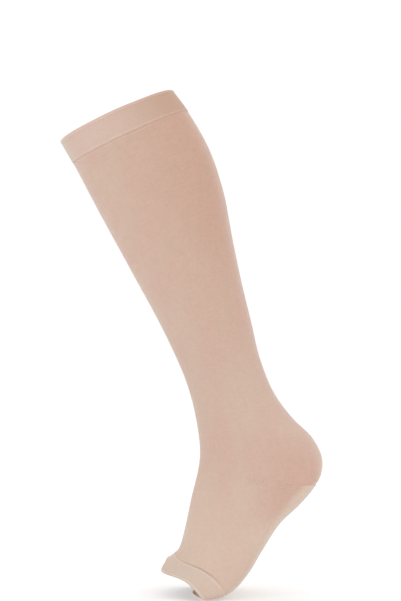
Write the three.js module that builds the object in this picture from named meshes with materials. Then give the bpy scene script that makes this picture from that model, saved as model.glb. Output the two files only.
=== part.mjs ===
import * as THREE from 'three';

// A knee-high compression stocking with an open toe, hollow, in the pose in which it is worn: the leg leans
// forward over a raised heel, and the ball of the foot is on the ground. Millimetres, +Z up. The origin is
// the middle of the mouth. -X is the front of the leg, +X its back, -Y its outer side and +Y its inner side.

// Cloth
const KNIT_WALL = 1.2; // one layer of dense elastic knit
const BAND_INNER = 1.5; // how far a folded band reaches in from the surface of the knit
const SEAM_GAP = 0.36; // along the stocking, between two pieces

// Bands and heel, in mm along the stocking
const TOP_BAND_WIDTH = 24.5;
const GORE_POINT = 0.46; // where the heel pocket starts at each side, as a share of the way from front to back
const POCKET_TIP_WIDTH = 1.6; // the pocket is cut off where it is narrower than this
const GORE_RAISE = 4.7; // the gore line lies this far above the section named for it
const GORE_RIDGE = 0.03; // half the width of the gore line's ridge, as a share of the pocket
const GORE_HEIGHT = 0.4;
const LIP = 0.7; // how far a folded edge bulges past the end of its band
const GROUND = -452.5;
const GROUND_SOFTNESS = 3; // how softly the sole flattens where it meets the ground

// The toe band's seam and its free edge, in mm ahead of the toe line at four places round the foot. Both
// reach further forward at a corner between the front and the outer side.
const TOE_SEAM = { front: -26, outer: -31.4, sole: -12.4, inner: -28, corner: 3.2 };
const TOE_EDGE = { front: -11, outer: -12.6, sole: 1, inner: -11.5, corner: 14.6 };
const TOE_CORNER_TURN = 0.07;
const TOE_CORNER_SPREAD = 0.08;

// Mesh
const COLUMNS_AROUND = 44;
const LEG_ROWS = 27;
const FOOT_ROWS = 11;
const HEEL_ROWS = 14;
const OUTLINE_STEPS = 72; // along half a section, before its points are spread evenly
const NORMAL_STEP = 0.4; // mm along the stocking
const NORMAL_TURN = 0.002;

const BEIGE = 0xd6bba7;
const BAND_BEIGE = 0xd4c2b0;

// Each section lies on a chord from the front of the stocking to its back. halfWidth is measured sideways at
// the share `widest` of the chord, the powers square its front and back corners off, middleY shifts it
// sideways, and frontSlope lowers the outer side of its front, as on the back of a foot.
const COLUMN_NAMES = ['frontX', 'frontZ', 'backX', 'backZ', 'halfWidth', 'widest', 'frontPower', 'backPower',
  'middleY', 'frontSlope'];
const SECTIONS = {
  mouth: [-53, -24, 53, 24, 51.5, 0.52, 2.05, 2.1, 0, 0],
  bandEnd: [-41.5, -44, 67.5, 4.5, 53.5, 0.53, 2, 2.1, 0, 0],
  calfTop: [-25.5, -74.5, 87.5, -30.5, 56, 0.56, 1.95, 2.15, 1, 0],
  calf: [-7.5, -108, 101, -70, 55, 0.57, 1.95, 2.15, 1.5, 0],
  calfLow: [13.5, -146.5, 109.5, -113.5, 49, 0.56, 1.95, 2.1, 1.5, 0],
  shin: [35, -185.5, 119, -159, 41.5, 0.54, 2, 2, 1, 0],
  shinLow: [51.5, -218, 128.5, -198, 34.5, 0.52, 2.05, 1.95, 0, 0],
  ankle: [64, -246.5, 136, -229.5, 30.5, 0.48, 2.1, 1.85, 0, 0],
  tendon: [72.5, -274, 150.5, -264.5, 31, 0.44, 2.1, 1.75, 0, 0],
  ankleLow: [77, -297, 168, -287.5, 33, 0.44, 2.1, 1.8, 0, 0],
  heelTop: [79, -315, 186, -305.5, 34, 0.46, 2.1, 2.1, 0, 0.02],
  heelBack: [78.5, -328, 195, -324.5, 33.5, 0.5, 2.1, 2.45, 0, 0.04],
  heelTip: [76.5, -339.5, 193.5, -340, 33, 0.54, 2.1, 2.7, 0, 0.06],
  gore: [74, -350, 185.5, -353.5, 33, 0.56, 2.1, 2.8, 0, 0.08],
  heelSole: [71, -362.5, 173.5, -367, 33.5, 0.58, 2.1, 2.7, -1, 0.1],
  arch: [68, -377.5, 155.5, -384, 35, 0.6, 2.1, 2.5, -2, 0.13],
  instep: [64.5, -394.5, 137.5, -410, 39.5, 0.62, 2.1, 2.5, -3, 0.17],
  ballBack: [61.5, -407, 124.5, -430, 43, 0.62, 2.1, 2.7, -4, 0.2],
  ball: [57.5, -415, 108.5, -447.5, 45, 0.6, 2.1, 2.8, -5, 0.22],
  toeRoot: [51, -421.5, 92, -455.5, 45, 0.56, 2.1, 2.8, -5, 0.24],
  toeLine: [42.5, -426, 74, -457.5, 44, 0.54, 2.1, 2.8, -5, 0.24],
  toes: [33.5, -430, 58, -459.5, 42, 0.54, 2.1, 2.8, -5, 0.24],
};

// Where each section lies, in mm from the mouth along the middle of the stocking
const rows = Object.values(SECTIONS);
const stations = [0];
for (let i = 1; i < rows.length; i++) {
  const [before, after] = [rows[i - 1], rows[i]];
  const stepX = (after[0] + after[2] - before[0] - before[2]) / 2;
  const stepZ = (after[1] + after[3] - before[1] - before[3]) / 2;
  stations.push(stations[i - 1] + Math.hypot(stepX, stepZ));
}
const stationOf = Object.fromEntries(Object.keys(SECTIONS).map((name, i) => [name, stations[i]]));

// The slope of a column at a row: that of a parabola through the row and its neighbours
function slopeAt(i, column) {
  const last = rows.length - 1;
  const rise = (k) => (rows[k + 1][column] - rows[k][column]) / (stations[k + 1] - stations[k]);
  if (i === 0) return rise(0);
  if (i === last) return rise(last - 1);
  const [before, after] = [stations[i] - stations[i - 1], stations[i + 1] - stations[i]];
  return (rise(i - 1) * after + rise(i) * before) / (before + after);
}

// The section at any station, on a smooth cubic through the rows
function sectionAt(station) {
  let i = 0;
  while (i < rows.length - 2 && station > stations[i + 1]) i++;
  const length = stations[i + 1] - stations[i];
  const t = (station - stations[i]) / length;
  const blend = (column) => (2 * t ** 3 - 3 * t ** 2 + 1) * rows[i][column]
    + (t ** 3 - 2 * t ** 2 + t) * length * slopeAt(i, column)
    + (3 * t ** 2 - 2 * t ** 3) * rows[i + 1][column]
    + (t ** 3 - t ** 2) * length * slopeAt(i + 1, column);
  return Object.fromEntries(COLUMN_NAMES.map((name, column) => [name, blend(column)]));
}

// Half of a section's outline, from its front to its back, on the outer side (-1) or the inner side (1)
function halfOutline(station, side) {
  const s = sectionAt(station);
  const chord = new THREE.Vector2(s.backX - s.frontX, s.backZ - s.frontZ);
  const length = chord.length();
  const points = [];
  for (let i = 0; i <= OUTLINE_STEPS; i++) {
    const angle = Math.PI * i / OUTLINE_STEPS;
    const [cos, sin] = [Math.cos(angle), Math.sin(angle)];
    const power = 2 / (cos > 0 ? s.frontPower : s.backPower);
    const out = Math.abs(sin) ** power;
    const ahead = Math.sign(cos) * Math.abs(cos) ** power;
    const across = side * s.halfWidth * out;
    const drop = -s.frontSlope * across * (0.5 + 0.5 * ahead);
    const share = 0.5 - 0.5 * ahead + (s.widest - 0.5) * out ** 2 + drop / length;
    const height = s.frontZ + chord.y * share - GROUND;
    const lifted = (height + Math.hypot(height, GROUND_SOFTNESS)) / 2;
    points.push(new THREE.Vector3(s.frontX + chord.x * share, s.middleY + across, GROUND + lifted));
  }
  return points;
}

// A point of the stocking's surface. turn runs once round: 0 front, 0.25 outer side, 0.5 back, 0.75 inner side
function surfacePoint(station, turn) {
  const around = turn - Math.floor(turn);
  const side = around < 0.5 ? -1 : 1;
  const points = halfOutline(station, side);
  const lengths = [0];
  for (let i = 1; i < points.length; i++) lengths.push(lengths[i - 1] + points[i].distanceTo(points[i - 1]));
  const wanted = (side < 0 ? 2 * around : 2 - 2 * around) * lengths.at(-1);
  let i = 1;
  while (i < points.length - 1 && lengths[i] < wanted) i++;
  const share = (wanted - lengths[i - 1]) / (lengths[i] - lengths[i - 1]);
  return points[i - 1].clone().lerp(points[i], share);
}

// A point moved out from the surface, or in where `proud` is negative
function proudPoint(station, turn, proud) {
  const along = surfacePoint(station + NORMAL_STEP, turn).sub(surfacePoint(station - NORMAL_STEP, turn));
  const around = surfacePoint(station, turn + NORMAL_TURN).sub(surfacePoint(station, turn - NORMAL_TURN));
  const normal = along.cross(around).normalize();
  return surfacePoint(station, turn).addScaledVector(normal, proud);
}

// A knitted wall between two edges. The profile's rows give a share of the way from the first edge to the
// last, an extra distance along the stocking and the outer surface's height; `inner` is the wall's inner face.
// A lip rounds off a free edge. Turns that go all the way round close on themselves.
function knittedPiece(name, colour, { from, to, profile, inner, turns, closed = true, lip = 0 }) {
  const loops = turns.map((turn) => {
    const [start, end] = [from(turn), to(turn)];
    const station = ({ share, extra = 0 }) => start + (end - start) * share + extra;
    const outside = profile.map((row) => proudPoint(station(row), turn, row.proud));
    const inside = profile.map((row) => proudPoint(station(row), turn, -inner)).reverse();
    const edge = lip < 0 ? start : end;
    const rounding = lip ? [proudPoint(edge + lip, turn, -inner / 2)] : [];
    return lip < 0 ? [...outside, ...inside, ...rounding] : [...outside, ...rounding, ...inside];
  });
  const size = loops[0].length;
  const positions = loops.flat().flatMap((point) => point.toArray());
  const indices = [];
  for (let j = 0; j < (closed ? loops.length : loops.length - 1); j++) {
    const next = (j + 1) % loops.length;
    for (let i = 0; i < size; i++) {
      const [a, b] = [j * size + i, j * size + (i + 1) % size];
      const [c, d] = [next * size + (i + 1) % size, next * size + i];
      indices.push(a, b, c, a, c, d);
    }
  }
  if (!closed) {
    const last = (loops.length - 1) * size;
    for (let i = 0; i < size / 2 - 1; i++) {
      const [a, b, c, d] = [i, i + 1, size - 2 - i, size - 1 - i];
      indices.push(a, c, b, a, d, c);
      indices.push(last + a, last + b, last + c, last + a, last + c, last + d);
    }
  }
  const geometry = new THREE.BufferGeometry();
  geometry.setAttribute('position', new THREE.Float32BufferAttribute(positions, 3));
  geometry.setIndex(indices);
  geometry.computeVertexNormals();
  const material = new THREE.MeshStandardMaterial({ color: colour, roughness: 0.85, metalness: 0 });
  const mesh = new THREE.Mesh(geometry, material);
  mesh.name = name;
  return mesh;
}

// Edges of the pieces, as stations that depend on the turn
const backness = (turn) => 1 - Math.abs(2 * turn - 1); // 0 at the front, 1 at the back
const pocketWay = (turn) => Math.max(0, (backness(turn) - GORE_POINT) / (1 - GORE_POINT));
const pocketShare = (turn) => Math.sin(Math.PI / 2 * pocketWay(turn));
const goreLine = stationOf.gore - GORE_RAISE;
const pocketTop = (turn) => goreLine - (goreLine - stationOf.heelTop) * pocketShare(turn);
const pocketBottom = (turn) => goreLine + (stationOf.arch - goreLine) * pocketShare(turn);

function toeStation({ front, outer, sole, inner, corner }, turn) {
  const angle = 2 * Math.PI * turn;
  const fromCorner = turn - TOE_CORNER_TURN - Math.round(turn - TOE_CORNER_TURN);
  return stationOf.toeLine + (front + outer + sole + inner) / 4 + (front - sole) / 2 * Math.cos(angle)
    + (outer - inner) / 2 * Math.sin(angle) + (front + sole - outer - inner) / 4 * Math.cos(2 * angle)
    + corner * Math.exp(-((fromCorner / TOE_CORNER_SPREAD) ** 2));
}
const toeSeam = (turn) => toeStation(TOE_SEAM, turn);
const toeEdge = (turn) => toeStation(TOE_EDGE, turn);

// Columns round the stocking, with one at each side where the heel pocket starts
const evenTurns = Array.from({ length: COLUMNS_AROUND }, (_, j) => j / COLUMNS_AROUND);
const goreTurns = [GORE_POINT / 2, 1 - GORE_POINT / 2];
const nearest = (turn) => evenTurns.reduce((a, b) => (Math.abs(a - turn) < Math.abs(b - turn) ? a : b));
const turns = evenTurns.map((turn) => goreTurns.find((gore) => nearest(gore) === turn) ?? turn);

// The pocket's first and last columns, where it is just wide enough
const tipShare = POCKET_TIP_WIDTH / (stationOf.arch - stationOf.heelTop);
const tipTurn = (GORE_POINT + tipShare * (1 - GORE_POINT) * 2 / Math.PI) / 2;
const pocketTurns = [tipTurn, ...turns.filter((turn) => turn > goreTurns[0] && turn < goreTurns[1]), 1 - tipTurn];

const evenProfile = (count) => Array.from({ length: count + 1 }, (_, i) => ({ share: i / count, proud: 0 }));

// The top band: a rolled edge, a flat stretch, and above its lower edge the first of two raised lines
const topBandProfile = [
  { share: 0, extra: 0, proud: 0.3 },
  { share: 0, extra: 1.4, proud: 0.8 },
  { share: 0, extra: 3, proud: 0.3 },
  { share: 0, extra: 4.5, proud: 0.5 },
  { share: 1, extra: -3, proud: 0.45 },
  { share: 1, extra: -1.8, proud: 0.8 },
  { share: 1, extra: -0.8, proud: 0.45 },
  { share: 1, extra: 0, proud: 0 },
];
const topBand = knittedPiece('top_band', BEIGE, {
  from: () => 0,
  to: () => TOP_BAND_WIDTH,
  profile: topBandProfile,
  inner: BAND_INNER,
  turns,
  lip: -LIP,
});

// The leg starts with the second raised line, where the band's fold is linked down
const legProfile = [
  { share: 0, extra: 0, proud: 0 },
  { share: 0, extra: 1.2, proud: 0.4 },
  { share: 0, extra: 2.4, proud: 0 },
  ...evenProfile(LEG_ROWS).slice(1),
];
const leg = knittedPiece('leg', BEIGE, {
  from: () => TOP_BAND_WIDTH + SEAM_GAP,
  to: (turn) => pocketTop(turn) - SEAM_GAP / 2,
  profile: legProfile,
  inner: KNIT_WALL,
  turns,
});

// The heel pocket: two wedges of short rows, joined by the raised gore line between them
const goreShare = (goreLine - stationOf.heelTop) / (stationOf.arch - stationOf.heelTop);
const heelPocket = knittedPiece('heel_pocket', BEIGE, {
  from: (turn) => pocketTop(turn) + SEAM_GAP / 2,
  to: (turn) => pocketBottom(turn) - SEAM_GAP / 2,
  profile: [
    ...evenProfile(HEEL_ROWS).filter(({ share }) => Math.abs(share - goreShare) > GORE_RIDGE),
    { share: goreShare - GORE_RIDGE, proud: 0 },
    { share: goreShare, proud: GORE_HEIGHT },
    { share: goreShare + GORE_RIDGE, proud: 0 },
  ].sort((a, b) => a.share - b.share),
  inner: KNIT_WALL,
  turns: pocketTurns,
  closed: false,
});

// The foot: the tube from the heel pocket and the front of the leg to the toe band
const foot = knittedPiece('foot', BEIGE, {
  from: (turn) => pocketBottom(turn) + SEAM_GAP / 2,
  to: (turn) => toeSeam(turn) - SEAM_GAP / 2,
  profile: evenProfile(FOOT_ROWS),
  inner: KNIT_WALL,
  turns,
});

// The toe band: a raised welt line at the seam, a flat stretch and a rounded free edge
const toeBandProfile = [
  { share: 0, extra: 0, proud: 0.1 },
  { share: 0, extra: 1.2, proud: 0.7 },
  { share: 0, extra: 2.6, proud: 0.4 },
  { share: 0.5, extra: 0, proud: 0.5 },
  { share: 1, extra: -2.6, proud: 0.5 },
  { share: 1, extra: -1.2, proud: 0.8 },
  { share: 1, extra: 0, proud: 0.3 },
];
const toeBand = knittedPiece('toe_band', BAND_BEIGE, {
  from: (turn) => toeSeam(turn) + SEAM_GAP / 2,
  to: toeEdge,
  profile: toeBandProfile,
  inner: BAND_INNER,
  turns,
  lip: LIP,
});

const stocking = new THREE.Group();
stocking.add(topBand, leg, heelPocket, foot, toeBand);

export default stocking;
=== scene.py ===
import math

import bmesh
import bpy
import numpy as np
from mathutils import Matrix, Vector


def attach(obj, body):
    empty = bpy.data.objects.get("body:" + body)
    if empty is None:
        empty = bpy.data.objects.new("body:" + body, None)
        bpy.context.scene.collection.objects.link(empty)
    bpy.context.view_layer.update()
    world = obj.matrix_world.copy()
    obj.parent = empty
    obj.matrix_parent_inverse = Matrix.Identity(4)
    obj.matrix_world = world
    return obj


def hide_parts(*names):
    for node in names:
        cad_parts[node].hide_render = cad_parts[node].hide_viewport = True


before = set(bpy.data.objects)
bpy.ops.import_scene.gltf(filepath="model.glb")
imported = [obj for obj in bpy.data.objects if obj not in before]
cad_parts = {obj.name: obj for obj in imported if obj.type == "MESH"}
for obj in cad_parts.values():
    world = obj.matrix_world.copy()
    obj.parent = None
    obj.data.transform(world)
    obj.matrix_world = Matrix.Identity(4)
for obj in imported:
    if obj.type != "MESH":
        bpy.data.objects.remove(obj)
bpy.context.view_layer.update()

# The camera is level with the middle of the stocking, 1.7 m out from its outer side and square to it.
# Its lens takes in 571 mm of height there, and the stocking stands to the left of the picture's middle.
MM = 0.001
VIEW_HEIGHT = 571  # mm at the stocking, from the top of the picture to the bottom
CAMERA_AWAY = 1700  # mm
CAMERA_ALONG, CAMERA_HEIGHT = 79.56, -174.8  # mm from the middle of the mouth
SENSOR = 36  # mm
camera_data = bpy.data.cameras.new("camera")
camera_data.sensor_width = SENSOR
camera_data.lens = SENSOR * CAMERA_AWAY / VIEW_HEIGHT
camera = bpy.data.objects.new("camera", camera_data)
camera.location = (CAMERA_ALONG * MM, -CAMERA_AWAY * MM, CAMERA_HEIGHT * MM)
camera.rotation_euler = (math.radians(90), 0, 0)
bpy.context.scene.collection.objects.link(camera)
bpy.context.scene.camera = camera


# Materials are written as sums on strands. A strand is one socket of a material's nodes, and arithmetic on
# it lays the Math nodes that work it out.
class Strand:
    def __init__(self, tree, socket=None):
        self.tree = tree
        self.socket = socket

    def node(self, kind, settings, inputs, output=0):
        """Any other node: its type, its settings, and the values or strands of its sockets."""
        made = self.tree.nodes.new(kind)
        for name, value in settings.items():
            setattr(made, name, value)
        for name, value in inputs.items():
            if isinstance(value, Strand):
                self.tree.links.new(value.socket, made.inputs[name])
            else:
                made.inputs[name].default_value = value
        return Strand(self.tree, made.outputs[output])

    def math(self, operation, first, second=0.0):
        return self.node("ShaderNodeMath", {"operation": operation}, {0: first, 1: second})

    def __add__(self, other):
        return self.math("ADD", self, other)

    def __sub__(self, other):
        return self.math("SUBTRACT", self, other)

    def __rsub__(self, other):
        return self.math("SUBTRACT", other, self)

    def __mul__(self, other):
        return self.math("MULTIPLY", self, other)

    __radd__ = __add__
    __rmul__ = __mul__

    def absolute(self):
        return self.math("ABSOLUTE", self)

    def wave(self, cycles):
        """1 at every whole cycle and -1 half way between."""
        return self.math("COSINE", self * (2 * math.pi * cycles))

    def fraction(self):
        return self.math("FRACT", self)

    def rise(self, low, high):
        """0 below low, 1 above high and smooth between."""
        settings = {"interpolation_type": "SMOOTHSTEP"}
        inputs = {"Value": self, "From Min": low, "From Max": high}
        return self.node("ShaderNodeMapRange", settings, inputs)

    def stretch(self, low, full, still_full, high):
        """0 outside low and high, 1 between the two inner values and smooth between."""
        return self.rise(low, full) * (1 - self.rise(still_full, high))

    def noise(self, scale):
        """A soft random pattern over the places that this strand holds."""
        return self.node("ShaderNodeTexNoise", {}, {"Vector": self, "Scale": scale, "Detail": 2.0})

    def bump(self, strength):
        """The direction of a surface that has this strand for its height."""
        inputs = {"Height": self, "Strength": strength, "Distance": 0.25 * MM}
        return self.node("ShaderNodeBump", {}, inputs)

    def between(self, first, second):
        """The colour this far from the first to the second."""
        settings = {"data_type": "RGBA"}
        return self.node("ShaderNodeMix", settings, {0: self, 6: first, 7: second}, output=2)

    def times(self, other):
        """One colour multiplied by another."""
        settings = {"data_type": "RGBA", "blend_type": "MULTIPLY"}
        return self.node("ShaderNodeMix", settings, {0: 1.0, 6: self, 7: other}, output=2)


def srgb(red, green, blue):
    """A colour as a dyer's chart gives it, from 0 to 255, as the light that it throws back."""
    linear = [(c / 255 / 12.92 if c < 11 else ((c / 255 + 0.055) / 1.055) ** 2.4) for c in (red, green, blue)]
    return (*linear, 1.0)


def new_material(name):
    """A material, its shader, and a strand with the place of each point on the object."""
    material = bpy.data.materials.new(name)
    material.use_nodes = True
    place = Strand(material.node_tree).node("ShaderNodeTexCoord", {}, {}, output="Object")
    return material, material.node_tree.nodes["Principled BSDF"], place


def set_shader(shader, **values):
    for name, value in values.items():
        socket = shader.inputs[name.replace("_", " ")]
        if isinstance(value, Strand):
            value.tree.links.new(value.socket, socket)
        else:
            socket.default_value = value


# The studio: a wide shallow dish of milky white board, flat in the middle and turned up all round, so that
# no edge shows from any side. It glows a little from behind, as a photographer's light table does. The sky
# is an even white, with a broad lamp to the front left, a small one low on the right and one above.
GROUND = -452.9 * MM
FLAT, RIM, RISE = 3.2, 4.8, 2.0  # m: how far out it is flat, how far out its rim is, and how high
STAGE_MIDDLE = (0.07, 0.0)

dish = bmesh.new()
profile = [(0, 0), (FLAT, 0)]
profile += [
    (FLAT + (RIM - FLAT) * math.sin(a), RISE * (1 - math.cos(a)))
    for a in np.linspace(0, math.pi / 2, 17)[1:]
]
corners = [dish.verts.new((x, 0, z)) for x, z in profile]
edges = [dish.edges.new(pair) for pair in zip(corners, corners[1:])]
bmesh.ops.spin(
    dish, geom=corners + edges, cent=(0, 0, 0), axis=(0, 0, 1), angle=2 * math.pi, steps=96, use_merge=True
)
bmesh.ops.remove_doubles(dish, verts=dish.verts, dist=1e-5)
bmesh.ops.recalc_face_normals(dish, faces=dish.faces)
if max(dish.faces, key=lambda face: face.calc_area()).normal.z < 0:
    bmesh.ops.reverse_faces(dish, faces=dish.faces)
bmesh.ops.translate(dish, vec=(*STAGE_MIDDLE, GROUND), verts=dish.verts)
floor_mesh = bpy.data.meshes.new("floor")
dish.to_mesh(floor_mesh)
dish.free()
floor_mesh.shade_smooth()
floor = bpy.data.objects.new("floor", floor_mesh)
bpy.context.scene.collection.objects.link(floor)

board, shader, place = new_material("pale board")
set_shader(
    shader,
    Base_Color=place.noise(3.0).rise(0.3, 0.7).between((0.62, 0.62, 0.617, 1), (0.65, 0.65, 0.647, 1)),
    Roughness=0.95,
    Specular_IOR_Level=0.1,
    Emission_Color=(1, 1, 1, 1),
    Emission_Strength=0.36,
)
floor_mesh.materials.append(board)

AIM = (0.07, 0.0, -0.2)


def lamp(name, where, size, power, colour=(1, 1, 1)):
    data = bpy.data.lights.new(name, "AREA")
    data.shape = "DISK"
    data.size = size
    data.energy = power
    data.color = colour
    made = bpy.data.objects.new(name, data)
    made.location = where
    toward = Vector(AIM) - Vector(where)
    made.rotation_euler = toward.to_track_quat("-Z", "Y").to_euler()
    made.visible_camera = False
    bpy.context.scene.collection.objects.link(made)


lamp("front left", (-1.7, -2.0, 0.7), 1.8, 4.7, (1, 0.985, 0.965))
lamp("low right", (1.6, -1.7, -0.1), 1.2, 3)
lamp("above", (0.1, 0.3, 2.2), 2.4, 9)

sky = bpy.data.worlds.new("sky")
sky.use_nodes = True
sky.node_tree.nodes["Background"].inputs["Color"].default_value = (1, 1, 1, 1)
sky.node_tree.nodes["Background"].inputs["Strength"].default_value = 1.02
bpy.context.scene.world = sky
bpy.context.scene.view_settings.view_transform = "Standard"


# The knitted tube: leg, heel pocket and foot, knitted round in one go from covered elastic and microfibre.
# The gore line crosses each side of the heel, where short rows make the pocket, and the sole under it is
# knitted closer. The cloth is worn stretched, so it has no creases but the pull at its two bands.

# Sections across the stocking, from the mouth to the toe opening. In mm: x and z of the front, x and z of
# the back, half the width; then the share of the way from front to back at which it is widest, how square
# its front and its back are (2 is an ellipse), how far it is shifted inwards in mm, and how much the outer
# side of its front slopes down, as it does over the instep.
SECTIONS = {
    "mouth": [-53, -24, 53, 24, 51.5, 0.52, 2.05, 2.1, 0, 0],
    "band end": [-41.5, -44, 67.5, 4.5, 53.5, 0.53, 2, 2.1, 0, 0],
    "calf top": [-25.5, -74.5, 87.5, -30.5, 56, 0.56, 1.95, 2.15, 1, 0],
    "calf": [-7.5, -108, 101, -70, 55, 0.57, 1.95, 2.15, 1.5, 0],
    "calf low": [13.5, -146.5, 109.5, -113.5, 49, 0.56, 1.95, 2.1, 1.5, 0],
    "shin": [35, -185.5, 119, -159, 41.5, 0.54, 2, 2, 1, 0],
    "shin low": [51.5, -218, 128.5, -198, 34.5, 0.52, 2.05, 1.95, 0, 0],
    "ankle": [64, -246.5, 136, -229.5, 30.5, 0.48, 2.1, 1.85, 0, 0],
    "tendon": [72.5, -274, 150.5, -264.5, 31, 0.44, 2.1, 1.75, 0, 0],
    "ankle low": [77, -297, 168, -287.5, 33, 0.44, 2.1, 1.8, 0, 0],
    "heel top": [79, -315, 186, -305.5, 34, 0.46, 2.1, 2.1, 0, 0.02],
    "heel back": [78.5, -328, 195, -324.5, 33.5, 0.5, 2.1, 2.45, 0, 0.04],
    "heel tip": [76.5, -339.5, 193.5, -340, 33, 0.54, 2.1, 2.7, 0, 0.06],
    "gore": [74, -350, 185.5, -353.5, 33, 0.56, 2.1, 2.8, 0, 0.08],
    "heel sole": [71, -362.5, 173.5, -367, 33.5, 0.58, 2.1, 2.7, -1, 0.1],
    "arch": [68, -377.5, 155.5, -384, 35, 0.6, 2.1, 2.5, -2, 0.13],
    "instep": [64.5, -394.5, 137.5, -410, 39.5, 0.62, 2.1, 2.5, -3, 0.17],
    "ball back": [61.5, -407, 124.5, -430, 43, 0.62, 2.1, 2.7, -4, 0.2],
    "ball": [57.5, -415, 108.5, -447.5, 45, 0.6, 2.1, 2.8, -5, 0.22],
    "toe root": [51, -421.5, 92, -455.5, 45, 0.56, 2.1, 2.8, -5, 0.24],
    "toe line": [42.5, -426, 74, -457.5, 44, 0.54, 2.1, 2.8, -5, 0.24],
    "toe opening": [33.5, -430, 58, -459.5, 42, 0.54, 2.1, 2.8, -5, 0.24],
}
SOLE_HEIGHT = -452.5  # mm, where the sole flattens on the ground
SOLE_SOFTNESS = 3  # mm

# A place on the stocking is given by its station, in mm from the mouth along the middle of the tube, and its
# turn, once round it: 0 in front, 0.25 on the outer side, 0.5 behind and 0.75 on the inner side.
sections = np.array(list(SECTIONS.values()), float)
middles = (sections[:, 0:2] + sections[:, 2:4]) / 2
stations = np.concatenate([[0], np.cumsum(np.linalg.norm(np.diff(middles, axis=0), axis=1))])
station_of = dict(zip(SECTIONS, stations))
gaps = np.diff(stations)[:, None]
rises = np.diff(sections, axis=0) / gaps
inner_slopes = (rises[:-1] * gaps[1:] + rises[1:] * gaps[:-1]) / (gaps[1:] + gaps[:-1])
slopes = np.vstack([rises[:1], inner_slopes, rises[-1:]])


STATION_STEP = 0.5  # mm between two rings of the tables below
TURN_STEPS = 720  # points in each ring
OUTLINE_STEPS = 144  # along half a section, before its points are spread evenly


def sections_at(along):
    """The section at each station, on a smooth cubic through the rows of the table."""
    i = np.clip(np.searchsorted(stations, along) - 1, 0, len(stations) - 2)
    length = (stations[i + 1] - stations[i])[:, None]
    t = (along - stations[i])[:, None] / length
    return (
        (2 * t**3 - 3 * t**2 + 1) * sections[i]
        + (t**3 - 2 * t**2 + t) * length * slopes[i]
        + (3 * t**2 - 2 * t**3) * sections[i + 1]
        + (t**3 - t**2) * length * slopes[i + 1]
    )


def half_outlines(rows, side):
    """Each section from its front to its back on one side, as points at even angles."""
    front_x, front_z, back_x, back_z, half_width, widest, front_power, back_power, middle_y, slope = (
        rows.T[:, :, None]
    )
    angle = np.linspace(0, math.pi, OUTLINE_STEPS + 1)[None]
    cos, sin = np.cos(angle), np.abs(np.sin(angle))
    power = 2 / np.where(cos > 0, front_power, back_power)
    out = sin**power
    ahead = np.sign(cos) * np.abs(cos) ** power
    across = side * half_width * out
    drop = -slope * across * (0.5 + 0.5 * ahead)
    chord = np.hypot(back_x - front_x, back_z - front_z)
    share = 0.5 - 0.5 * ahead + (widest - 0.5) * out**2 + drop / chord
    height = front_z + (back_z - front_z) * share - SOLE_HEIGHT
    lifted = (height + np.hypot(height, SOLE_SOFTNESS)) / 2
    x = front_x + (back_x - front_x) * share
    return np.stack([x, middle_y + across, SOLE_HEIGHT + lifted], axis=-1)


def even_ring(outer, inner):
    """A ring of points, evenly spaced from the front down the outer side and back up the inner side."""
    ring = []
    for half in (outer, inner[::-1]):
        run = np.concatenate([[0], np.cumsum(np.linalg.norm(np.diff(half, axis=0), axis=1))])
        wanted = np.linspace(0, run[-1], TURN_STEPS // 2 + 1)[:-1]
        ring.append(np.stack([np.interp(wanted, run, half[:, k]) for k in range(3)], axis=-1))
    return np.concatenate(ring)


# The plain surface as a table of points and of directions away from it
FIRST_STATION = -4
table_stations = np.arange(FIRST_STATION, stations[-1] + 3, STATION_STEP)
table_sections = sections_at(table_stations)
halves = zip(half_outlines(table_sections, -1), half_outlines(table_sections, 1))
surface_table = np.array([even_ring(outer, inner) for outer, inner in halves])
down_the_tube = np.gradient(surface_table, axis=0)
round_the_tube = np.roll(surface_table, -1, axis=1) - np.roll(surface_table, 1, axis=1)
normal_table = np.cross(down_the_tube, round_the_tube)
normal_table /= np.linalg.norm(normal_table, axis=2, keepdims=True)


def from_table(values, turn, station):
    """A table's value at any place, between its four nearest entries."""
    row = np.clip((station - FIRST_STATION) / STATION_STEP, 0, len(values) - 1.001)
    column = (turn % 1) * TURN_STEPS
    above, left = row.astype(int), column.astype(int) % TURN_STEPS
    right = (left + 1) % TURN_STEPS
    down, along = (row - above)[:, None], (column - column.astype(int))[:, None]
    upper = values[above, left] * (1 - along) + values[above, right] * along
    lower = values[above + 1, left] * (1 - along) + values[above + 1, right] * along
    return upper * (1 - down) + lower * down


def on_stocking(turn, station, proud):
    """Points at a height in mm above the stocking's surface, in metres."""
    normal = from_table(normal_table, turn, station)
    normal /= np.linalg.norm(normal, axis=1, keepdims=True)
    return (from_table(surface_table, turn, station) + normal * proud[:, None]) * MM


def bell(value, middle, width):
    return np.exp(-(((value - middle) / width) ** 2))


def bell_round(turn, middle, width):
    """A bell at one place round the stocking, whole where it reaches past the front."""
    away = turn - middle
    return bell(away - np.round(away), 0, width)


def swell(value, low, high):
    t = np.clip((value - low) / (high - low), 0, 1)
    return t * t * (3 - 2 * t)


# The toe band's seam and free edge, in mm ahead of the toe line (behind it where less than 0) at four
# places, and how much further a corner reaches forward between the front and the outer side
TOE_SEAM = {"front": -26, "outer": -31.4, "sole": -12.4, "inner": -28, "corner": 3.2}
TOE_EDGE = {"front": -11, "outer": -12.6, "sole": 1, "inner": -11.5, "corner": 14.6}
TOE_CORNER_TURN = 0.07
TOE_CORNER_SPREAD = 0.08


def toe_station(line, turn):
    front, outer, sole, inner, corner = line.values()
    angle = 2 * math.pi * turn
    return (
        station_of["toe line"]
        + (front + outer + sole + inner) / 4
        + (front - sole) / 2 * np.cos(angle)
        + (outer - inner) / 2 * np.sin(angle)
        + (front + sole - outer - inner) / 4 * np.cos(2 * angle)
        + corner * bell_round(turn, TOE_CORNER_TURN, TOE_CORNER_SPREAD)
    )


def toe_seam(turn):
    return toe_station(TOE_SEAM, turn)


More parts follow.
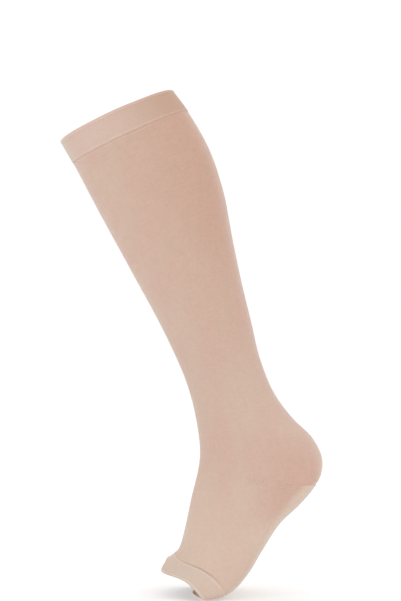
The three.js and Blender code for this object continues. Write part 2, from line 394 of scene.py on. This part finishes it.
def toe_edge(turn):
    return toe_station(TOE_EDGE, turn)


TOP_BAND_WIDTH = 24.5
TUBE_COLUMNS = 240
TUBE_START = TOP_BAND_WIDTH - 1.5  # its first rows are caught inside the top band
TUBE_TUCK = 1.2  # and its last ones in the toe band
FOOT_START = 410
# Rows of the mesh down to the foot, closer at the band and at the gore line: from, to, and how many
STRETCHES = [(TUBE_START, 30, 12), (30, 316, 82), (316, 373, 25), (373, 384, 17), (384, FOOT_START, 11)]
FOOT_ROWS = 23
SEAM_STRETCH, SEAM_ROWS = 8, 12  # mm before the toe band's seam, with rows that run along it

leg_rows = np.concatenate([np.linspace(a, b, count, endpoint=False) for a, b, count in STRETCHES])
TUBE_ROWS = len(leg_rows) + FOOT_ROWS + SEAM_ROWS


def tube_station(turn, line):
    """The station of each row of the mesh, counted from the top."""
    near_seam = toe_seam(turn) + TUBE_TUCK - SEAM_STRETCH
    foot_line = line - len(leg_rows)
    leg = leg_rows[np.minimum(line, len(leg_rows) - 1)]
    foot = FOOT_START + (near_seam - FOOT_START) * foot_line / FOOT_ROWS
    seam = near_seam + SEAM_STRETCH * (foot_line - FOOT_ROWS) / SEAM_ROWS
    return np.where(foot_line < 0, leg, np.where(foot_line < FOOT_ROWS, foot, seam))


GORE_POINT = 0.58  # where the gore line can first be seen at each side, from 0 in front to 1 behind
GORE_LINE = station_of["gore"] - 4.7  # a little above the section that is named for it
RIDGE_BELOW_BAND = TOP_BAND_WIDTH + 1.6
GROOVE_AT_BAND = TOP_BAND_WIDTH + 0.3
SEAM_CREASE = 1.0  # mm deep, along the toe band's seam


def backness(turn):
    """0 in front and 1 behind, alike on both sides."""
    return 1 - np.abs(2 * turn - 1)


def toe_tension(turn):
    """How sharply the toe band's seam shows: most on its upper side, least under the sole."""
    return 0.22 + 0.78 * bell_round(turn, 0.19, 0.09)


def tube_relief(turn, station):
    """How far the cloth stands off its plain surface, in mm."""
    gore = swell(backness(turn), GORE_POINT - 0.04, GORE_POINT + 0.06)
    relief = gore * (0.42 * bell(station, GORE_LINE + 0.9, 0.8) - 0.4 * bell(station, GORE_LINE - 1.2, 0.8))
    # the groove at the top band's edge and the fine ridge below it, both fading to the back
    toward_back = swell(backness(turn), 0.45, 0.85)
    relief += (0.34 - 0.2 * toward_back) * bell(station, RIDGE_BELOW_BAND, 0.7)
    relief -= (0.2 - 0.35 * toward_back) * bell(station, GROOVE_AT_BAND, 0.7)
    # the crease at the toe band
    behind = toe_seam(turn) - station
    relief += toe_tension(turn) * (0.35 * bell(behind, 2.4, 1.4) - SEAM_CREASE * bell(behind, 0.4, 0.6))
    # the cloth never lies quite even
    wander = np.sin(station / 17 + 5 * np.sin(2 * math.pi * turn)) * np.cos(6 * math.pi * turn + station / 41)
    return relief + 0.07 * wander


def laid_grid(columns, rows, place):
    """A ring of cloth, `columns` round and `rows` along, with each point moved to place(turn, line).

    Its own map, "knit", holds the turn and the share of the rows.
    """
    bm = bmesh.new()
    bm.loops.layers.uv.new("knit")
    bmesh.ops.create_grid(bm, x_segments=columns, y_segments=rows, size=0.5, calc_uvs=True)
    flat = np.array([vert.co for vert in bm.verts]) + 0.5
    turn = np.round(flat[:, 0] * columns) / columns
    line = np.round(flat[:, 1] * rows).astype(int)
    for vert, point in zip(bm.verts, place(turn, line)):
        vert.co = point
    bmesh.ops.remove_doubles(bm, verts=bm.verts, dist=1e-6)
    bmesh.ops.reverse_faces(bm, faces=bm.faces)
    return bm


def piece_from(name, bm, materials):
    """A piece of the object with a finished mesh."""
    mesh = bpy.data.meshes.new(name)
    bm.to_mesh(mesh)
    bm.free()
    mesh.shade_smooth()
    for material in materials:
        mesh.materials.append(material)
    piece = bpy.data.objects.new(name, mesh)
    bpy.context.scene.collection.objects.link(piece)
    return piece


def place_tube(turn, line):
    station = tube_station(turn, line)
    return on_stocking(turn, station, tube_relief(turn, station))


tube = laid_grid(TUBE_COLUMNS, TUBE_ROWS, place_tube)
# On the tube the map's second value becomes the station, in metres, so that the stitches stay even.
uv = tube.loops.layers.uv["knit"]
for face in tube.faces:
    for loop in face.loops:
        turn, share = loop[uv].uv
        station = tube_station(np.array([turn]), np.array([round(share * TUBE_ROWS)]))[0]
        loop[uv].uv = (turn, station * MM)

WALES = 344  # columns of stitches round the stocking; every second one stands up as a fine rib
COURSES = 1.4  # rows of stitches to a mm


def map_strands(place):
    """The two values of a cloth's own map."""
    knit = place.node("ShaderNodeUVMap", {"uv_map": "knit"}, {})
    turn = place.node("ShaderNodeSeparateXYZ", {}, {"Vector": knit}, output="X")
    return turn, Strand(turn.tree, turn.socket.node.outputs["Y"])


leg_knit, shader, place = new_material("beige knit")
turn, metres = map_strands(place)
station = metres * 1000
back = 1 - (turn * 2 - 1).absolute()
rib = turn.wave(WALES / 2)
from_wale = ((turn * WALES).fraction() - 0.5).absolute()
stitch = (station * COURSES + from_wale * 1.3).wave(1)
groove = from_wale.rise(0.3, 0.5)

# Large soft changes of tone: the back of the calf is browner, partly because the cloth is stretched most
# there and partly as painted shade on the side away from the front lamp. The foot, stretched least, is
# palest.
# Between them lie faint warmer patches, and the pocket is warmer too.
leaning = place.node(
    "ShaderNodeMapping",
    {"vector_type": "POINT"},
    {"Vector": place, "Rotation": (0, math.radians(25), 0), "Scale": (1, 1, 0.5)},
)
patches = leaning.noise(24.0)
toward_back = back.rise(0.15, 0.85) * (1 - station.rise(70, 320))
slack = station.rise(330, 460)
pocket = back.rise(0.4, 0.7) * station.stretch(320, 360, 390, 430)
warm = patches.rise(0.35, 0.65) * (1 - slack * 0.5) * 0.5
tone = slack.between(srgb(205, 179, 163), srgb(211, 187, 170))
tone = warm.between(tone, srgb(206, 170, 156))
tone = (pocket * 0.8).between(tone, srgb(202, 166, 151))
# painted shade, with the stretched cloth's browner tone, at the back of the calf
tone = (toward_back * 0.85).between(tone, srgb(194, 155, 136))

# The sole under the gore line is paler: partly its closer knit, partly painted sheen along the lower
# outline. Its strip widens towards the ball of the foot as painted light against the ground's shade, and
# a fainter painted sheen runs up the very back of the heel.
below_gore = station.rise(GORE_LINE - 1, GORE_LINE - 0.1)
rim_light_widening = station.rise(370, 395) * 0.035 + station.rise(440, 470) * 0.07
sole = (back + rim_light_widening).rise(0.74, 0.82) * below_gore
heel_back_sheen = back.rise(0.82, 0.92) * station.rise(330, 360) * (1 - below_gore) * 0.6
tone = ((sole + heel_back_sheen) * 0.85).between(tone, srgb(213, 194, 178))

# Yarn: uneven stitches in streaks along the wales and along the courses
ROUND = 0.05  # m, a circle for the turn, so that the streaks meet in front
circle = place.node(
    "ShaderNodeCombineXYZ",
    {},
    {"X": turn.wave(1) * ROUND, "Y": (turn - 0.25).wave(1) * ROUND, "Z": metres},
)
along_wales = place.node("ShaderNodeMapping", {}, {"Vector": circle, "Scale": (1, 1, 0.2)})
along_courses = place.node("ShaderNodeMapping", {}, {"Vector": circle, "Scale": (0.25, 0.25, 1)})
uneven = along_wales.noise(520.0) * 0.28 + along_courses.noise(620.0) * 0.4 + place.noise(900.0) * 0.32
light_and_dark = uneven.rise(0.35, 0.65).between((0.955, 0.955, 0.955, 1), (1.03, 1.03, 1.03, 1))
tone = tone.times(light_and_dark)

# Painted shade in short gaps between some of the ribs, on the outer side, just above the end of the gore line
from_front_to_back = back.stretch(0.37, 0.43, 0.59, 0.65) * (1 - turn.rise(0.5, 0.51))
above_gore = station.stretch(GORE_LINE - 10, GORE_LINE - 6, GORE_LINE - 1.2, GORE_LINE - 0.2)
every_few_ribs = ((turn + station * 0.00006).wave(118) * -1).rise(0.25, 0.9)
some_left_out = circle.noise(160.0).rise(0.42, 0.56)
dark = from_front_to_back * above_gore * every_few_ribs * some_left_out

# On the inner side the gore line ends in one long dark stitch with small ladder stitches on both sides
gore_end = turn.stretch(0.742, 0.748, 0.774, 0.780)
long_stitch = gore_end * station.stretch(GORE_LINE - 1.2, GORE_LINE - 0.6, GORE_LINE, GORE_LINE + 0.6)
ladder = gore_end * station.stretch(GORE_LINE - 3.5, GORE_LINE - 2.8, GORE_LINE + 2.5, GORE_LINE + 3.2)
dark = dark + long_stitch + ladder * turn.wave(150).rise(0.1, 0.8) * (1 - long_stitch) * 0.7
# painted shade in the rib troughs, between the wales and in the gaps above, with the dark stitches
furrow_shade_and_marks = (0.5 - rib * 0.5) * 0.05 + groove * 0.03 + dark * 0.26
tone = furrow_shade_and_marks.between(tone, srgb(150, 112, 96))

# A painted highlight along the ridge under the band, fading towards the back
ridge_highlight = station.stretch(
    RIDGE_BELOW_BAND - 0.9, RIDGE_BELOW_BAND - 0.3, RIDGE_BELOW_BAND + 0.3, RIDGE_BELOW_BAND + 1.1
)
tone = (ridge_highlight * (1 - back.rise(0.45, 0.8)) * 0.12).between(tone, srgb(236, 214, 200))
height = rib * 0.30 + stitch * (1 - groove) * 0.22 - groove * 0.35 + uneven * 0.3 - dark * 0.9
set_shader(
    shader,
    Base_Color=tone,
    Roughness=0.86,
    Specular_IOR_Level=0.25,
    Sheen_Weight=0.75,
    Sheen_Roughness=0.3,
    Sheen_Tint=(0.95, 0.95, 0.93, 1),
    Normal=height.bump(0.5),
)

# The back of the same cloth: purl loops lying across, a little greyer than the face.
leg_purl, shader, place = new_material("beige purl side")
turn, metres = map_strands(place)
fuzz = place.noise(700.0)
loops = (metres * (1000 * COURSES) + turn.wave(WALES) * 0.2).wave(1)
tone = (fuzz.rise(0.3, 0.7) * 0.5 + loops * 0.2 + 0.3).between(srgb(196, 168, 150), srgb(214, 189, 171))
set_shader(
    shader,
    Base_Color=tone,
    Roughness=0.9,
    Specular_IOR_Level=0.2,
    Sheen_Weight=0.2,
    Normal=(loops * 0.3 + fuzz * 0.4).bump(0.5),
)

KNIT_WALL = 1.0  # mm
knitted_tube = piece_from("knitted_tube", tube, [leg_knit, leg_purl])
wall = knitted_tube.modifiers.new("one layer of knit", "SOLIDIFY")
wall.thickness = KNIT_WALL * MM
wall.offset = -1
wall.material_offset = 1
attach(knitted_tube, "root")
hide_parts("leg", "heel_pocket", "foot")


# The top band: the same knit turned over on itself and linked down with a double line of stitches.
# It has a rolled edge and fine upright ribs, and its grip holds the stocking up.
RIBS = 180
COLUMNS_PER_RIB = 4
RIB_HEIGHT = 0.055  # mm
BAND_INNER = -1.5  # mm, where the folded layer lies below the surface
# The band's section, once round the fold from inside: mm from the edge, mm above the surface, share of ribs
TOP_BAND_PROFILE = [
    (24.2, -1.3, 0), (23.5, BAND_INNER, 0.5), (18, BAND_INNER, 1), (11, BAND_INNER, 1), (6, BAND_INNER, 1),
    (1.2, BAND_INNER, 0.5), (0.2, -1.42, 0), (-0.35, -1.15, 0), (-0.68, -0.75, 0), (-0.72, -0.3, 0),
    (-0.5, 0.1, 0), (-0.1, 0.4, 0.1), (0.5, 0.65, 0.3), (1.1, 0.78, 0.4), (1.7, 0.72, 0.5), (2.2, 0.5, 0.6),
    (2.7, 0.36, 0.8), (3.3, 0.36, 0.9), (4.2, 0.47, 1), (6.5, 0.5, 1), (9, 0.5, 1), (11.5, 0.5, 1),
    (14, 0.5, 1), (17, 0.48, 1), (19.5, 0.42, 1), (21.2, 0.38, 1), (22.0, 0.5, 1.1), (22.7, 0.62, 1.2),
    (23.3, 0.48, 1.0), (23.8, 0.32, 0.8), (24.2, 0.1, 0.5), (24.4, -0.35, 0),
]  # fmt: skip
top_profile = np.array(TOP_BAND_PROFILE)


def place_top_band(turn, line):
    station, proud, share = top_profile[line % len(top_profile)].T
    rib = np.cos(2 * math.pi * RIBS * turn)
    # the free edge waves a little, and the lower one lies snug at the back
    wave = 0.35 * np.sin(2 * math.pi * turn * 3 + 0.6) + 0.2 * np.sin(2 * math.pi * turn * 7)
    near_edge = np.clip(1 - station / 6, 0, 1)
    snug = 0.3 * swell(backness(turn), 0.45, 0.85) * swell(station, 23, 24) * (proud > 0)
    height = RIB_HEIGHT * (0.6 + 0.7 * bell_round(turn, 0.2, 0.12)) * rib * share
    return on_stocking(turn, station + wave * near_edge * 0.5, proud - snug + height)


def closed_band(name, columns, profile, place, material):
    """A ring of cloth whose section closes on itself."""
    bm = laid_grid(columns, len(profile), place)
    bmesh.ops.recalc_face_normals(bm, faces=bm.faces)
    return piece_from(name, bm, [material])


def band_material(name, profile, patch_scale):
    """A band's material and what its tones are worked out from: turn, row of the profile, patches, fuzz."""
    material, shader, place = new_material(name)
    turn, share = map_strands(place)
    return material, shader, turn, share * len(profile), place.noise(patch_scale), place.noise(900.0)


def finish_band(shader, tone, height, sheen):
    set_shader(
        shader,
        Base_Color=tone,
        Roughness=0.84,
        Specular_IOR_Level=0.25,
        Sheen_Weight=sheen,
        Sheen_Roughness=0.38,
        Sheen_Tint=(0.93, 0.93, 0.9, 1),
        Normal=height.bump(0.45),
    )


top_band_knit, shader, turn, row, patches, fuzz = band_material("band knit", top_profile, 30.0)
back = 1 - (turn * 2 - 1).absolute()
tone = (patches.rise(0.34, 0.68) * 0.4).between(srgb(208, 183, 170), srgb(206, 177, 163))
# painted shade, darker and browner towards the back, away from the front lamp; painted light, paler and
# greyer at the very front
tone = back.rise(0.3, 0.95).between(tone, srgb(185, 150, 130))
tone = (1 - back.rise(0.06, 0.2)).between(tone, srgb(204, 188, 172))
# uneven fuzz, and painted shade in the troughs between the ribs
furrow_shade_and_marks = fuzz.rise(0.3, 0.7) * 0.1 + (0.5 - turn.wave(RIBS) * 0.5) * 0.05
tone = furrow_shade_and_marks.between(tone, srgb(160, 124, 106))
# painted highlights along the crests of the rolled edge and of the raised line
rolled_edge_highlight = row.stretch(11.5, 12.5, 14.1, 15.0)
raised_line_highlight = row.stretch(25.6, 26.6, 27.5, 28.5)
tone = ((rolled_edge_highlight + raised_line_highlight) * 0.14).between(tone, srgb(238, 220, 207))
finish_band(shader, tone, turn.wave(RIBS) * 0.4 + fuzz * 0.5, sheen=0.32)
top_band = closed_band(
    "top_band_cloth", RIBS * COLUMNS_PER_RIB, top_profile, place_top_band, top_band_knit
)
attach(top_band, "root")
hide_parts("top_band")


# The toe band: a paler plain knit, folded and linked to the foot round the open toe.
# Its free edge is rolled, and stands a little off where the upper side meets the outer side.
TOE_COLUMNS = 360
# Its section from the seam round the edge and back: share of the way, mm beyond that, mm above the surface
TOE_BAND_PROFILE = [
    (0, 0.3, -1.2), (0, 0.0, -0.5), (0, 0.12, 0.0), (0, 0.4, 0.45), (0, 0.8, 0.72), (0, 1.3, 0.74),
    (0, 1.8, 0.58), (0, 2.4, 0.44), (0, 3.4, 0.44), (0.3, 0, 0.5), (0.45, 0, 0.52), (0.6, 0, 0.52),
    (0.75, 0, 0.5), (1, -3.2, 0.47), (1, -2.4, 0.5), (1, -1.7, 0.72), (1, -1.1, 0.84), (1, -0.5, 0.74),
    (1, -0.05, 0.4), (1, 0.35, 0.0), (1, 0.6, -0.45), (1, 0.55, -0.95), (1, 0.2, -1.32),
    (1, -0.5, BAND_INNER), (1, -2.5, BAND_INNER), (0.7, 0, BAND_INNER), (0.45, 0, BAND_INNER),
    (0.2, 0, BAND_INNER), (0, 1.2, BAND_INNER),
]  # fmt: skip
toe_profile = np.array(TOE_BAND_PROFILE)


def place_toe_band(turn, line):
    share, extra, proud = toe_profile[line % len(toe_profile)].T
    seam, edge = toe_seam(turn), toe_edge(turn)
    station = seam + (edge - seam) * share + extra
    near_edge = np.clip((station - seam) / (edge - seam), 0, 1) ** 2
    stand_off = 1.2 * bell_round(turn, TOE_CORNER_TURN, 0.06)
    at_seam = bell(station, seam + 1.1, 1.2) * 0.42 * (1 - toe_tension(turn))
    return on_stocking(turn, station, proud + stand_off * near_edge - at_seam)


toe_knit, shader, turn, row, patches, fuzz = band_material("toe band knit", toe_profile, 45.0)
back = 1 - (turn * 2 - 1).absolute()
tone = back.rise(0.2, 0.8).between(srgb(204, 187, 172), srgb(212, 188, 172))
tone = (patches.rise(0.34, 0.68) * 0.4).between(tone, srgb(208, 180, 164))
wale_rib = turn.wave(WALES / 2)
# uneven fuzz, and painted shade in the troughs between the ribs
furrow_shade_and_marks = fuzz.rise(0.3, 0.7) * 0.1 + (0.5 - wale_rib * 0.5) * 0.05
tone = furrow_shade_and_marks.between(tone, srgb(165, 132, 114))
# painted highlights on the raised line at the seam, on the upper side only, and on the rolled edge
raised_line_highlight = row.stretch(2.6, 3.8, 5.8, 7.0) * (1 - back.rise(0.5, 0.72)) * 0.7
rolled_edge_highlight = row.stretch(14.2, 15.1, 16.8, 18.0)
tone = ((raised_line_highlight + rolled_edge_highlight) * 0.3).between(tone, srgb(238, 222, 208))
finish_band(shader, tone, wale_rib * 0.3 + fuzz * 0.5, sheen=0.3)
toe_band = closed_band("toe_band_cloth", TOE_COLUMNS, toe_profile, place_toe_band, toe_knit)
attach(toe_band, "root")
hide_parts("toe_band")
